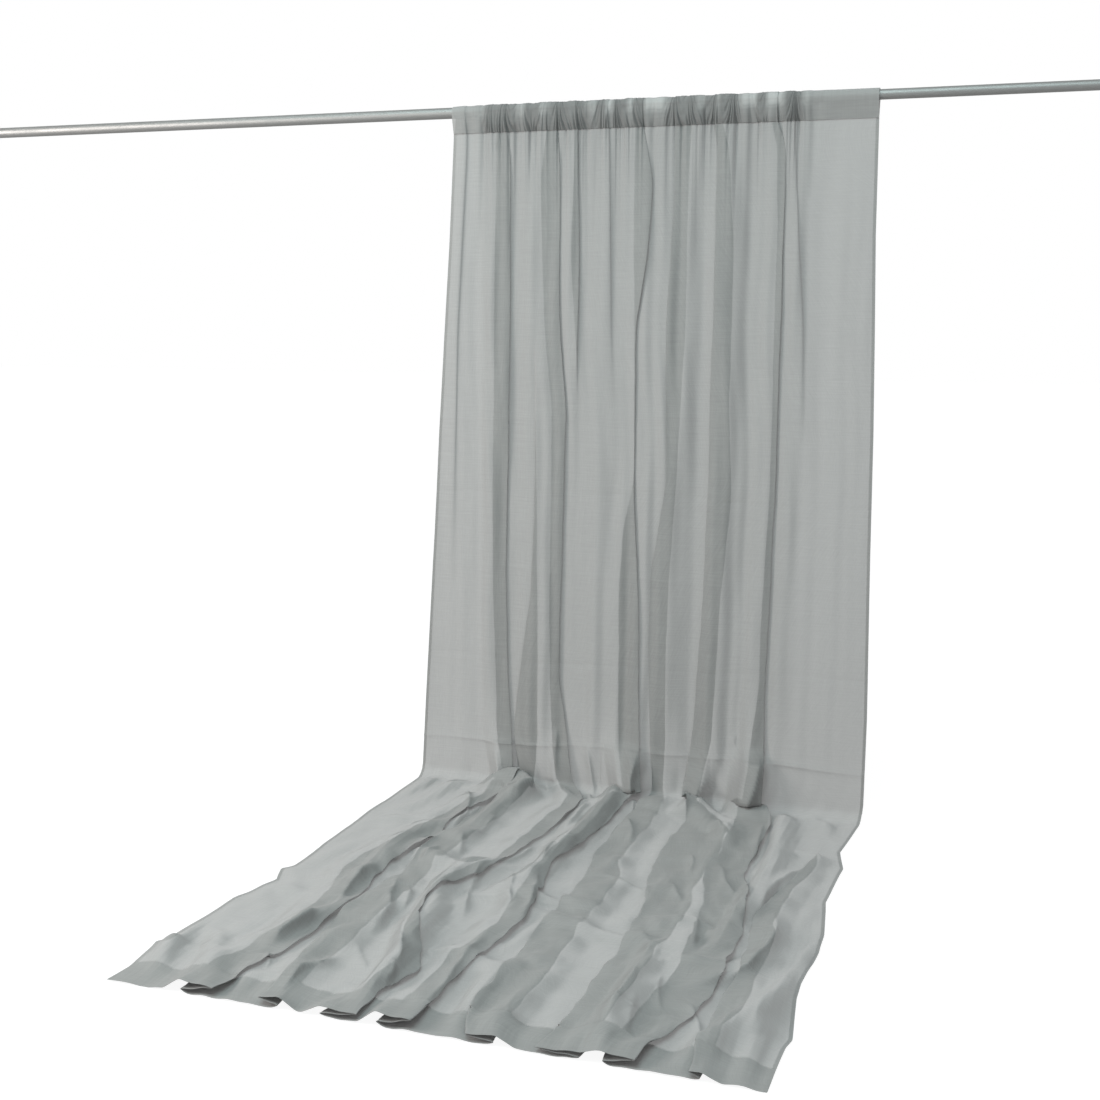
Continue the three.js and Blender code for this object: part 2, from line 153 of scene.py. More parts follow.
# Folds: the side of the cloth that lies in front, how far the layers part at the floor, and stations of
# distance down the cloth, left and right limit of the doubled band, in mm
FOLDS = [
    ("left", 1.0, [
        (0, 46, 58), (140, 44, 56), (740, 6, 16), (1100, -4, 6), (1660, -18, -10), (1900, -24, -20),
    ]),
    ("left", 5.0, [
        (0, 150, 200), (140, 151, 222), (900, 141, 216), (1660, 136, 202), (2100, 148, 214),
        (2223, 147, 222), (2380, 182, 240), (2440, 178, 256), (2560, 172, 262), (2750, 130, 200),
        (2950, 95, 192), (3100, 57, 203), (3400, 10, 160), (3600, 60, 177), (3900, 60, 177),
        (4100, 10, 130), (4327, -17, 91),
    ]),
    ("right", 2.0, [
        (780, 306, 306), (900, 303, 313), (1300, 304, 320), (1700, 288, 325), (2000, 240, 326),
        (2223, 216, 325), (2380, 250, 312), (2440, 253, 302), (2520, 240, 340), (2700, 222, 322),
        (2900, 209, 312), (3040, 209, 300), (3150, 203, 289), (3314, 210, 280), (3500, 190, 290),
        (3800, 180, 280), (4000, 200, 285), (4217, 223, 280), (4327, 223, 280),
    ]),
    ("left", 2.5, [
        (0, 345, 395), (240, 316, 406), (740, 330, 404), (1040, 362, 430), (1660, 355, 415),
        (2000, 355, 408), (2300, 372, 448), (2440, 398, 470), (2520, 455, 520), (2630, 466, 541),
        (3000, 440, 505), (3370, 412, 466), (3600, 352, 400), (3740, 362, 432), (4023, 500, 568),
        (4217, 420, 509), (4327, 389, 509),
    ]),
    ("left", 1.0, [
        (0, 440, 470), (140, 441, 474), (500, 430, 476), (900, 452, 475), (1010, 458, 472),
        (1200, 468, 468),
    ]),
    ("left", 1.0, [
        (0, 558, 578), (140, 570, 584), (740, 580, 592), (975, 590, 600), (1150, 600, 600),
    ]),
    ("left", 5.0, [
        (0, 655, 690), (240, 655, 740), (500, 655, 724), (740, 662, 684), (1290, 666, 682),
        (1450, 630, 690), (1700, 614, 706), (2240, 620, 717), (2400, 640, 726), (2440, 655, 738),
        (2560, 575, 706), (2800, 562, 700), (3000, 590, 678), (3200, 612, 650), (3400, 611, 690),
        (3657, 630, 703), (3900, 590, 680), (4217, 566, 657), (4327, 549, 651),
    ]),
    ("right", 2.0, [
        (0, 795, 870), (240, 800, 862), (770, 778, 856), (1300, 787, 834), (1600, 735, 816),
        (1900, 728, 808), (2240, 744, 808), (2380, 762, 800), (2440, 745, 806), (2560, 735, 826),
        (3050, 735, 826), (3200, 758, 861), (4217, 754, 869), (4327, 800, 880),
    ]),
    ("right", 4.0, [
        (0, 915, 950), (140, 944, 1000), (500, 944, 1021), (740, 942, 1020), (1010, 936, 1016),
        (1300, 936, 1032), (1700, 922, 1000), (2200, 893, 979), (2400, 868, 930), (2440, 862, 908),
        (2540, 900, 1000), (2640, 918, 1089), (3200, 930, 1089), (3400, 989, 1109), (4217, 989, 1109),
        (4327, 966, 1086),
    ]),
    ("left", 6.0, [
        (0, 1100, 1130), (140, 1151, 1191), (700, 1149, 1187), (1300, 1149, 1181), (1700, 1130, 1172),
        (2000, 1128, 1165), (2245, 1100, 1165), (2440, 1075, 1168), (2560, 1078, 1209),
        (3100, 1085, 1209), (3300, 1126, 1270), (3500, 1140, 1300), (3740, 1180, 1297),
        (3900, 1160, 1310), (4000, 1150, 1300), (4217, 1143, 1240), (4327, 1143, 1229),
    ]),
    ("left", 1.0, [
        (0, 1196, 1214), (140, 1205, 1217), (740, 1248, 1261), (1010, 1256, 1267), (1300, 1266, 1266),
    ]),
    ("right", 1.0, [
        (2780, 1404, 1404), (2926, 1388, 1412), (3140, 1336, 1380), (3383, 1304, 1360),
        (3600, 1318, 1385), (3840, 1322, 1390), (4217, 1335, 1390), (4327, 1349, 1383),
    ]),
]

# Gathers that start under the rod and fade: place across, width and length, in mm
GATHERS = [
    (84, 8, 420), (112, 9, 800), (128, 7, 350), (236, 11, 700), (262, 8, 450), (286, 9, 900),
    (318, 8, 380), (412, 10, 760), (428, 7, 420), (486, 10, 640), (508, 7, 330), (530, 9, 880),
    (548, 8, 460), (604, 9, 560), (626, 10, 840), (646, 7, 380), (700, 9, 500), (722, 8, 340),
    (742, 10, 780), (780, 9, 560), (884, 11, 820), (902, 8, 400), (962, 9, 480), (1012, 9, 700),
    (1034, 7, 380), (1058, 10, 860), (1082, 8, 460), (1136, 9, 560), (1168, 8, 400), (1186, 9, 740),
    (1232, 9, 820), (1262, 7, 460), (1296, 6, 380),
]

# Creases left by the packet it was folded in: distance down the cloth in mm, and how sharp it is
PACKING_CREASES = [
    (1060, 0.4), (1340, -0.4), (1622, 0.5), (1942, -0.5), (2264, 2.2), (2760, -0.6), (3000, 0.5),
    (3240, -0.8), (3497, 0.7), (3730, -0.6), (4070, 0.8),
]

# Clusters of tight tucks in the pocket: middle and half width along the rod, in mm
TUCK_CLUSTERS = [
    (182, 62), (300, 30), (425, 80), (548, 18), (617, 26), (680, 20), (835, 52), (930, 24), (990, 34),
    (1100, 16), (1205, 30),
]

# Pinched ridges at the foot and on the train: height, then places along the crest as across and down,
# in mm. Each one is steep on its right, and leans over that way.
RIDGES = [
    (16, [(140, 2290), (165, 2330), (178, 2360), (172, 2420), (165, 2500), (190, 2590)]),
    (42, [(176, 2335), (182, 2385), (215, 2430), (260, 2470), (330, 2560), (300, 2615), (235, 2660)]),
    (18, [(105, 2600), (135, 2660), (170, 2740), (195, 2830), (200, 2930), (200, 3010)]),
    (12, [(208, 2700), (205, 2780), (205, 2860)]),
    (10, [(305, 2800), (315, 2900), (315, 2980), (300, 3060)]),
    (24, [(205, 3060), (200, 3150), (200, 3240), (205, 3330)]),
    (10, [(250, 3160), (247, 3240), (240, 3320)]),
    (9, [(278, 3040), (300, 3110), (328, 3190)]),
    (22, [(118, 3370), (120, 3470), (122, 3580), (132, 3650), (160, 3740)]),
    (17, [(215, 3420), (235, 3500), (262, 3610), (295, 3680), (305, 3760), (312, 3870)]),
    (12, [(285, 3500), (315, 3600), (332, 3680)]),
    (26, [(118, 3780), (125, 3840), (108, 3910), (98, 3970), (105, 4030)]),
    (14, [(110, 4050), (135, 4100), (152, 4140)]),
    (16, [(300, 3990), (288, 4070), (250, 4130), (262, 4200), (270, 4290)]),
    (13, [(330, 3660), (378, 3760), (420, 3870), (468, 3970), (500, 4040), (512, 4120)]),
    (8, [(365, 3700), (400, 3820), (440, 3910)]),
    (7, [(310, 3920), (352, 3990), (402, 4050)]),
    (15, [(452, 3240), (447, 3300), (456, 3370), (478, 3460), (500, 3540), (545, 3700)]),
    (18, [(525, 2440), (540, 2540), (532, 2640), (538, 2710)]),
    (26, [(562, 2580), (553, 2690), (553, 2790), (545, 2890)]),
    (12, [(575, 2920), (562, 3000), (566, 3100)]),
    (14, [(508, 3000), (500, 3120), (470, 3210), (440, 3250)]),
    (10, [(545, 3280), (580, 3370), (602, 3450), (632, 3540), (645, 3620)]),
    (21, [(632, 3280), (658, 3380), (673, 3460), (688, 3560), (702, 3680)]),
    (14, [(600, 3060), (598, 3140), (618, 3220)]),
    (18, [(650, 3690), (640, 3840), (638, 3950), (648, 4080), (648, 4290)]),
    (12, [(500, 4060), (514, 4110), (508, 4160)]),
    (38, [(712, 2235), (692, 2290), (682, 2345), (690, 2400), (702, 2460)]),
    (15, [(706, 2460), (718, 2540), (738, 2600)]),
    (12, [(738, 2680), (770, 2760), (800, 2840), (815, 2940)]),
    (32, [(885, 2335), (868, 2390), (876, 2440), (892, 2530), (916, 2600), (925, 2650)]),
    (12, [(965, 2310), (932, 2380), (905, 2430)]),
    (8, [(1040, 2620), (1052, 2700), (1070, 2780)]),
    (13, [(1178, 2590), (1190, 2740), (1200, 2890), (1195, 2990)]),
    (44, [(1152, 2200), (1142, 2260), (1132, 2330), (1112, 2390), (1095, 2450)]),
    (7, [(1168, 2220), (1182, 2320), (1190, 2390)]),
    (5, [(1062, 2150), (1050, 2190), (1066, 2222), (1100, 2232)]),
    (10, [(506, 2230), (520, 2320), (535, 2420), (545, 2500)]),
    (9, [(395, 2190), (390, 2290), (396, 2370)]),
    (10, [(1018, 2960), (1040, 3040), (1052, 3140)]),
    (10, [(1110, 3000), (1140, 3080), (1162, 3160), (1200, 3240), (1260, 3285)]),
    (9, [(1020, 3210), (1042, 3270), (1080, 3350)]),
    (8, [(780, 3190), (850, 3235), (955, 3270), (985, 3350)]),
    (20, [(1398, 2900), (1348, 3010), (1320, 3120), (1305, 3220), (1308, 3330), (1300, 3420)]),
    (28, [
        (1350, 3340), (1374, 3440), (1378, 3540), (1368, 3640), (1345, 3740), (1300, 3815), (1215, 3930),
    ]),
    (12, [(1150, 3440), (1162, 3540), (1190, 3660), (1200, 3720)]),
    (12, [(1340, 3770), (1280, 3745), (1180, 3755), (1105, 3800)]),
    (10, [(1155, 3830), (1168, 3920), (1190, 4000), (1220, 4060)]),
    (15, [(1082, 3830), (1100, 3940), (1095, 4040), (1100, 4150)]),
    (8, [(1132, 4000), (1150, 4090), (1170, 4250)]),
    (11, [(1220, 3960), (1272, 4000), (1302, 4060), (1326, 4140), (1340, 4240)]),
    (8, [(1012, 3560), (1032, 3620), (1080, 3700), (1092, 3780)]),
]


# Small tools ---------------------------------------------------------------------------------------
def link(obj):
    bpy.context.scene.collection.objects.link(obj)
    return obj


def mesh_object(name, points, faces, material, uvs=None, turn=None, smooth=True):
    """A mesh in the scene, with its texture places and the attribute that says how the cloth turns,
    which the material reads for cover, painted shade and a painted highlight.
    """
    mesh = bpy.data.meshes.new(name)
    mesh.from_pydata([tuple(p) for p in points], [], [tuple(f) for f in faces])
    mesh.polygons.foreach_set("use_smooth", [smooth] * len(mesh.polygons))
    if uvs is not None:
        layer = mesh.uv_layers.new(name="cloth")
        corners = np.zeros(len(mesh.loops), np.int32)
        mesh.loops.foreach_get("vertex_index", corners)
        layer.data.foreach_set("uv", uvs[corners].astype(np.float32).ravel())
    if turn is not None:
        values = mesh.attributes.new("turn", "FLOAT", "POINT").data
        values.foreach_set("value", turn.astype(np.float32).ravel())
    if material:
        mesh.materials.append(material)
    mesh.update()
    return link(bpy.data.objects.new(name, mesh))


def grid_faces(rows, columns):
    """The four-sided faces between the points of a grid."""
    index = np.arange(rows * columns).reshape(rows, columns)
    corners = [index[:-1, :-1], index[1:, :-1], index[1:, 1:], index[:-1, 1:]]
    return np.stack(corners, axis=-1).reshape(-1, 4)


def ease(value):
    """A smooth step from 0 to 1."""
    value = np.clip(value, 0, 1)
    return value * value * (3 - 2 * value)


def blend(low, high, share):
    return low + (high - low) * share


def blurred(rows, sigma_samples):
    """Each row of an array, smoothed with a Gaussian, its ends held."""
    reach = int(3 * sigma_samples) + 1
    weights = np.exp(-0.5 * (np.arange(-reach, reach + 1) / sigma_samples) ** 2)
    weights /= weights.sum()
    padded = np.pad(rows, ((0, 0), (reach, reach)), mode="reflect", reflect_type="odd")
    total = np.zeros_like(rows)
    for shift, weight in enumerate(weights):
        total += weight * padded[:, shift:shift + rows.shape[1]]
    return total


def waves(across, down, lengths, heights, rng, drift):
    """Long ripples that run down the cloth: sines across it that wander slowly on the way down."""
    total = np.zeros(np.broadcast(across, down).shape)
    for length, height in zip(lengths, heights):
        start = rng.uniform(0, 2 * np.pi)
        strayed = sum(
            drift * np.sin(2 * np.pi * down / pitch + rng.uniform(0, 2 * np.pi))
            for pitch in (2.9, 1.3, 0.7)
        )
        beat = 0.6 + 0.4 * np.sin(2 * np.pi * (across / (7.3 * length) + down / 5) + rng.uniform(0, 6))
        total += height * beat * np.sin(2 * np.pi * (across + strayed) / length + start)
    return total


# The cloth's sections ------------------------------------------------------------------------------
OUTLINE_M = np.array(OUTLINE, float) / 1000


def edges_at(down):
    """The cloth's left and right edges at a distance down it."""
    return [np.interp(down, OUTLINE_M[:, 0], OUTLINE_M[:, side]) for side in (1, 2)]


def wander(down, rng, height):
    """A wavy line: the way the side of a fold strays on its way down."""
    total = np.zeros_like(down)
    for pitch, share in ((0.61, 0.5), (0.27, 0.3), (0.13, 0.25)):
        length = pitch * rng.uniform(0.8, 1.25)
        total += share * np.sin(2 * np.pi * down / length + rng.uniform(0, 2 * np.pi))
    return height * total


def gather_stations(place, width, reach):
    """A gather follows the cloth as it spreads, and narrows to nothing."""
    top_left, top_right = edges_at(0.0)
    share = (place / 1000 - top_left) / (top_right - top_left)
    stations = []
    for part, left_over in ((0, 1), (0.3, 0.6), (0.7, 0.25), (1, 0)):
        down = 0.8 * part * reach / 1000 + STITCH_DROP * (part > 0)
        left_edge, right_edge = edges_at(down)
        middle = 1000 * (left_edge + share * (right_edge - left_edge))
        stations.append((1000 * down, middle - width * left_over / 2, middle + width * left_over / 2))
    return stations


def prepared_folds(rows):
    """Each fold's limits and layer gap at every row, from left to right across the top."""
    rng = np.random.default_rng(SEED)
    minor = [
        ("left" if number % 2 else "right", 1.0, gather_stations(*gather))
        for number, gather in enumerate(GATHERS)
    ]
    fine = np.arange(0, DROP + TRAIN_END + 0.02, FINE_STEP)
    laid = ease((fine - DROP + 0.1) / 0.2)
    prepared = []
    for side, puff, stations in sorted(FOLDS + minor, key=lambda fold: fold[2][0][1]):
        table = np.array(stations, float) / 1000
        limits = np.array([np.interp(fine, table[:, 0], table[:, k]) for k in (1, 2)])
        limits = blurred(limits, LIMIT_BLUR / FINE_STEP)
        major = len(stations) > 6
        if major:
            limits += [wander(fine, rng, blend(STRAY_HUNG, STRAY_LAID, laid)) for _ in range(2)]
        width = np.maximum(limits[1] - limits[0], 0) * ease((fine - table[0, 0] + 0.05) / 0.05)
        if not major:
            width *= ease((table[-1, 0] - fine) / (0.5 * table[-1, 0]))
        middle = limits.mean(axis=0)
        swell = 1 + (puff - 1) * np.exp(-(((fine - DROP + 0.04) / 0.12) ** 2))
        if major:
            open_hem = np.exp(-(((fine - DROP - TRAIN_END) / 0.10) ** 2))
            swell = swell + laid * (0.6 + wander(fine, rng, 0.9)) + 0.9 * open_hem
        gap = LAYER_GAP * np.clip(swell, 0.7, 7) * np.clip(width / FULL_FOLD, 0, 1)
        prepared.append((side, *(np.interp(rows, fine, line) for line in (middle, width, gap))))
    return prepared


def section(folds, row, left_edge, right_edge):
    """One row as points along the cloth: where it is across the rod, and how far the folds lift it."""
    across, lifts = [left_edge], []
    length = 0.0
    for side, middles, widths, gaps in folds:
        width, gap = widths[row], gaps[row]
        if width < 0.001:
            continue
        right = max(middles[row] + width / 2, across[-1] + 0.001)
        start = length + right - across[-1]
        end = start + width
        half = (start + end) / 2
        if side == "left":
            places = (start - width - 0.05, start - width, start, half, end, end + 0.02)
            levels = (0, 2, 1.5, 1, 0.5, 0)
        else:
            places = (start - 0.02, start, half, end, end + width, end + width + 0.05)
            levels = (0, 0.5, 1, 1.5, 2, 0)
        lifts.append((places, [gap * level for level in levels]))
        across += [right, right - width]
        length = end
    across.append(max(right_edge, across[-1] + 0.001))
    along = np.concatenate([[0], np.cumsum(np.abs(np.diff(across)))])
    at = np.linspace(0, along[-1], SAMPLES)
    lift = sum((np.interp(at, places, levels) for places, levels in lifts), np.zeros(SAMPLES))
    return np.interp(at, along, across), lift, along[-1]


def cloth_rows(rows, columns=COLUMNS):
    """The place across the rod, lift, turn and length along the cloth, for every row and column."""
    folds = prepared_folds(rows)
    left_edges, right_edges = edges_at(rows)
    made = [section(folds, row, left_edges[row], right_edges[row]) for row in range(len(rows))]
    lengths = np.array([m[2] for m in made])
    laid = ease((rows - DROP + 0.5) / 0.5)[:, None]
    pitch = lengths.mean() / SAMPLES
    across, lift = (
        blurred(line, TURN_BLUR_HUNG / pitch) * (1 - laid) + blurred(line, TURN_BLUR_LAID / pitch) * laid
        for line in (np.array([m[0] for m in made]), np.array([m[1] for m in made]))
    )
    slope = np.abs(np.gradient(across, axis=1)) / (lengths[:, None] / SAMPLES)
    turn = 1 - np.clip(slope, 0, 1)
    near = blurred(turn, CURVE_REACH / pitch)
    # The turn value darkens the cloth's colour in the material: painted shade along folds and the cloth
    # near them, in the gathered middle and near the top.
    turn = FOLD_TURN * turn + near * blend(NEAR_TURN_HUNG, NEAR_TURN_LAID, laid)
    density_and_shade = (GATHERED_TURN + TOP_TURN * np.exp(-rows / TOP_REACH))[:, None]
    turn += (1 - laid) * (HUNG_TURN + gathered(across) * density_and_shade)
    pick = np.linspace(0, SAMPLES - 1, columns).round().astype(int)
    along = np.linspace(0, 1, columns)[None, :] * lengths[:, None]
    return {"across": across[:, pick], "lift": lift[:, pick], "turn": turn[:, pick], "along": along}


def stations_down(start, end):
    """Rows down the cloth, closer together at each packing crease."""
    rows = list(np.arange(start, DROP, ROW_STEP)) + list(np.arange(DROP, end, 0.7 * ROW_STEP)) + [end]
    for crease, _ in PACKING_CREASES:
        at = crease / 1000
        if start + 0.02 < at < end - 0.02:
            rows = [r for r in rows if abs(r - at) > 0.009 or r in (start, end)]
            rows += [at - 0.005, at - 0.0015, at + 0.0015, at + 0.005]
    return np.array(sorted(rows))


def middle_line(down):
    """The middle of the cloth at a distance down: its y and z, and the direction its folds lift in."""
    turn_start = DROP - BEND_RADIUS * math.pi / 4 - CLOTH_LIFT
    quarter = BEND_RADIUS * math.pi / 2
    forward = DEPTH_AT_FOOT * ease(down / turn_start)
    angle = np.clip((down - turn_start) / quarter, 0, 1) * math.pi / 2
    past = np.maximum(down - turn_start - quarter, 0)
    y = ROD_Y - forward - BEND_RADIUS * (1 - np.cos(angle)) - past
    z = np.where(
        down < turn_start, -down, -(DROP - CLOTH_LIFT - BEND_RADIUS) - BEND_RADIUS * np.sin(angle)
    )
    return y, z, angle


def gathered(across):
    """How gathered the cloth is across the rod: not at its two ends."""
    return ease((across - GATHERED_FROM) / 0.04) * (1 - ease((across - GATHERED_TO) / 0.05))


def bunched(across):
    """How tightly the cloth is bunched on the rod: 1 inside a cluster of tucks."""
    total = np.zeros(across.shape)
    for middle, half in TUCK_CLUSTERS:
        total = np.maximum(total, ease(1.6 - np.abs(across - middle / 1000) / (half / 1000)))
    return total


def small_gathers(across, above_stitching):
    """Tucks round the rod: soft swells with sharp slanting valleys between them."""
    slant = 0.45 * np.sin(2 * np.pi * across / 0.21 + 1) + 0.3 * np.sin(2 * np.pi * across / 0.067)
    place = across + slant * above_stitching + 0.003 * np.sin(2 * np.pi * across / 0.043)
    crowding = 2 * np.sin(2 * np.pi * across / 0.15)
    wide = np.abs(np.sin(np.pi * place / WIDE_TUCK_PITCH)) - MEAN_TUCK
    narrow = np.abs(np.sin(np.pi * place / NARROW_TUCK_PITCH + crowding)) - MEAN_TUCK
    tight = bunched(across)
    return gathered(across) * ((WIDE_TUCK + CLUSTER_TUCK * tight) * wide + NARROW_TUCK * tight * narrow)


def ripples(across, down):
    """The height that the ripples and the fading tucks give each place."""
    rng = np.random.default_rng(SEED + 3)
    hung = 1 - ease((down - DROP + 0.25) / 0.3)
    broad = waves(across, down, *HUNG_RIPPLES, rng, drift=0.006)
    broad = broad * (0.3 + 0.7 * gathered(across))
    laid = waves(across, down, *LAID_RIPPLES, rng, drift=0.05)
    top = small_gathers(across, 0) * np.exp(-(down - STITCH_DROP) / TUCK_FADE)
    return hung * (broad * ease(down / 0.5) + top) + (1 - hung) * (laid + 0.002)


def creases(across, rows):
    """The packing creases: low ridges and valleys along rows of the cloth, worn away in places."""
    total = np.zeros(across.shape)
    for number, (crease, sharpness) in enumerate(PACKING_CREASES):
        worn = 0.65 + 0.35 * np.sin(9 * across + 2.3 * number) * np.sin(3.1 * across + number)
        away = np.abs(rows[:, None] - crease / 1000)
        total += CREASE_HEIGHT * sharpness * worn * np.exp(-away / CREASE_WIDTH)
    return total


def sway(across, rows):
    """How far down each place of a row has drifted, so that the packing creases run unevenly."""
    creased = [crease / 1000 for crease, _ in PACKING_CREASES]
    stops = np.array([STITCH_DROP, *creased, DROP + TRAIN_END - HEM_DEPTH])
    number = np.clip(np.searchsorted(stops, rows) - 1, 0, len(stops) - 2)
    share = np.clip((rows - stops[number]) / (stops[number + 1] - stops[number]), 0, 1)[:, None]

    def drift(stop):
        inner = ((stop > 0) & (stop < len(stops) - 1))[:, None]
        phase = stop[:, None]
        broad = BROAD_SWAY * np.sin(2.6 * across + 1.7 * phase)
        return inner * (broad + FINE_SWAY * np.sin(11 * across + phase))

    return drift(number) * (1 - share) + drift(number + 1) * share


def pinched(across, down):
    """The height that the ridges give each place."""
    highest = np.zeros(across.shape)
    for height, crest in RIDGES:
        line = np.array(crest, float) / 1000
        steps = np.diff(line, axis=0)
        lengths = np.linalg.norm(steps, axis=1)
        before = np.concatenate([[0], np.cumsum(lengths)])
        (low, top), (high, bottom) = line.min(axis=0) - 0.12, line.max(axis=0) + 0.12
        near = (across > low) & (across < high) & (down > top) & (down < bottom)
        x, y = across[near], down[near]
        nearest = np.full(x.shape, 9.0)
        side, share = np.zeros(x.shape), np.zeros(x.shape)
        for start, step, length, gone in zip(line, steps, lengths, before):
            u, v = x - start[0], y - start[1]
            part = np.clip((u * step[0] + v * step[1]) / length ** 2, 0, 1)
            apart = np.hypot(u - part * step[0], v - part * step[1])
            closer = apart < nearest
            side = np.where(closer, u * step[1] - v * step[0], side)
            share = np.where(closer, (gone + part * length) / before[-1], share)
            nearest = np.where(closer, apart, nearest)
        crest_height = height / 1000 * ease(share / 0.3) * ease((1 - share) / 0.3)
        reach = np.where(side > 0, 0.0035 + 0.0006 * height, 0.007 + 0.0014 * height)
        highest[near] = np.maximum(highest[near], crest_height * np.exp(-((nearest / reach) ** 1.2)))
    return highest


class Crumple:
    """The train's wrinkles, from a cloth simulation: a plain sheet on the floor, its rim drawn in."""

    LOW = np.array([-0.29, DROP - 0.10])
    HIGH = np.array([1.59, DROP + TRAIN_END + 0.03])
    STEP = 0.020
    DRAWN_IN = np.array([0.085, 0.012])
    FRAMES = 22

    def __init__(self):
        counts = np.ceil((self.HIGH - self.LOW) / self.STEP).astype(int) + 1
        self.across = np.linspace(self.LOW[0], self.HIGH[0], counts[0])
        self.down = np.linspace(self.LOW[1], self.HIGH[1], counts[1])
        self.rest = np.stack([*np.meshgrid(self.across, self.down), np.zeros(counts[::-1])], axis=-1)
        self.moved = self.simulated() - self.rest

    def simulated(self):
        """The sheet's points when its rim has been drawn in."""
        rows, columns = self.rest.shape[:2]
        rng = np.random.default_rng(SEED + 5)
        middle = self.rest.reshape(-1, 3).mean(axis=0)
        start = self.rest.copy()
        for _ in range(24):
            pitch = rng.normal(0, 2 * np.pi / 0.17), rng.normal(0, 2 * np.pi / 0.6)
            start[..., 2] += 0.0008 * np.cos(
                pitch[0] * start[..., 0] + pitch[1] * start[..., 1] + rng.uniform(0, 2 * np.pi)
            )
        start[..., 2] = np.maximum(0.006 + start[..., 2], 0.0035)
        wide = start.copy()
        wide[..., :2] += (start[..., :2] - middle[:2]) * self.DRAWN_IN
        sheet = mesh_object("crumpling", wide.reshape(-1, 3), grid_faces(rows, columns), None)
        index = np.arange(rows * columns).reshape(rows, columns)
        rim = np.ones((rows, columns), bool)
        rim[1:-1, 1:-1] = False
        pins = sheet.vertex_groups.new(name="pins")
        pins.add(index[~rim].tolist(), 0.003, "REPLACE")
        pins.add(index[rim].tolist(), 1.0, "REPLACE")
        sheet.shape_key_add(name="wide")
        drawn = sheet.shape_key_add(name="drawn in")
        drawn.data.foreach_set("co", start.astype(np.float32).ravel())
        for value, moment in ((0, 1), (1, int(0.7 * self.FRAMES))):
            drawn.value = value
            drawn.keyframe_insert("value", frame=moment)
        corners = [(-9, -9, 0), (9, -9, 0), (9, 9, 0), (-9, 9, 0)]
        ground = mesh_object("ground", corners, [(0, 1, 2, 3)], None)
        ground.modifiers.new("ground", "COLLISION")
        ground.collision.thickness_outer = 0.003
        cloth = sheet.modifiers.new("cloth", "CLOTH")
        cloth.collision_settings.distance_min = 0.003
        cloth.point_cache.frame_start, cloth.point_cache.frame_end = 1, self.FRAMES
        for key, value in {
            "quality": 5, "mass": 0.08, "air_damping": 1, "vertex_group_mass": "pins",
            "tension_stiffness": 20, "compression_stiffness": 20, "shear_stiffness": 3,
            "bending_stiffness": 6,
        }.items():
            setattr(cloth.settings, key, value)
        for moment in range(1, self.FRAMES + 1):
            bpy.context.scene.frame_set(moment)
        result = sheet.evaluated_get(bpy.context.evaluated_depsgraph_get()).to_mesh()
        points = np.zeros(3 * rows * columns, np.float32)
        result.vertices.foreach_get("co", points)
        bpy.context.scene.frame_set(1)
        for made in (sheet, ground):
            bpy.data.objects.remove(made)
        return points.reshape(rows, columns, 3).astype(float)

    def at(self, across, down):
        """How far the cloth has moved at each place: across, down and up."""
        column = np.interp(across, self.across, np.arange(len(self.across)))
        row = np.interp(down, self.down, np.arange(len(self.down)))
        c = np.minimum(column.astype(int), len(self.across) - 2)
        r = np.minimum(row.astype(int), len(self.down) - 2)
        u, v = (column - c)[..., None], (row - r)[..., None]
        moved = self.moved
        above = moved[r, c] * (1 - u) + moved[r, c + 1] * u
        below = moved[r + 1, c] * (1 - u) + moved[r + 1, c + 1] * u
        return above * (1 - v) + below * v


crumple = Crumple()


def place_cloth(made, rows):
    """Points, texture places and turn of a patch of cloth, row by row."""
    across, along = made["across"], made["along"]
    down = rows[:, None] + sway(across, rows)
    left_edges, right_edges = edges_at(rows)
    rim = np.minimum(across - left_edges[:, None], right_edges[:, None] - across)
    share = ease((down - DROP + 0.03) / 0.12)
    share = share * ease((DROP + TRAIN_END - down) / 0.2 + 0.15) * ease(rim / 0.12 + 0.15)
    moved = crumple.at(across, down) * (CRUMPLE_SHARE * share)[..., None]
    ridge = pinched(across, down)
    y, z, angle = middle_line(down + moved[..., 1])
    raised = made["lift"] + ripples(across, down) + creases(across, rows) + moved[..., 2] + ridge
    raised = np.where(angle > 1.5, np.maximum(raised, 0.0), raised)
    x = PANEL_X + across + moved[..., 0] + RIDGE_LEAN * ridge
    points = np.stack([x, y - raised * np.cos(angle), z + raised * np.sin(angle)], axis=-1)
    points[..., 2] = np.maximum(points[..., 2], FLOOR_Z + 0.0015)
    uvs = np.stack([along, -down], axis=-1)
    slope_across = np.gradient(raised, axis=1) / np.gradient(along, axis=1)
    slope = np.hypot(slope_across, np.gradient(raised, rows, axis=0))
    # Steep places get more turn, so the material darkens their colour: painted shade on the flanks of
    # ridges and wrinkles.
    turn = np.clip(made["turn"] + STEEP_TURN * (1 - 1 / np.sqrt(1 + slope ** 2)), 0, 1)
    return points, uvs, turn


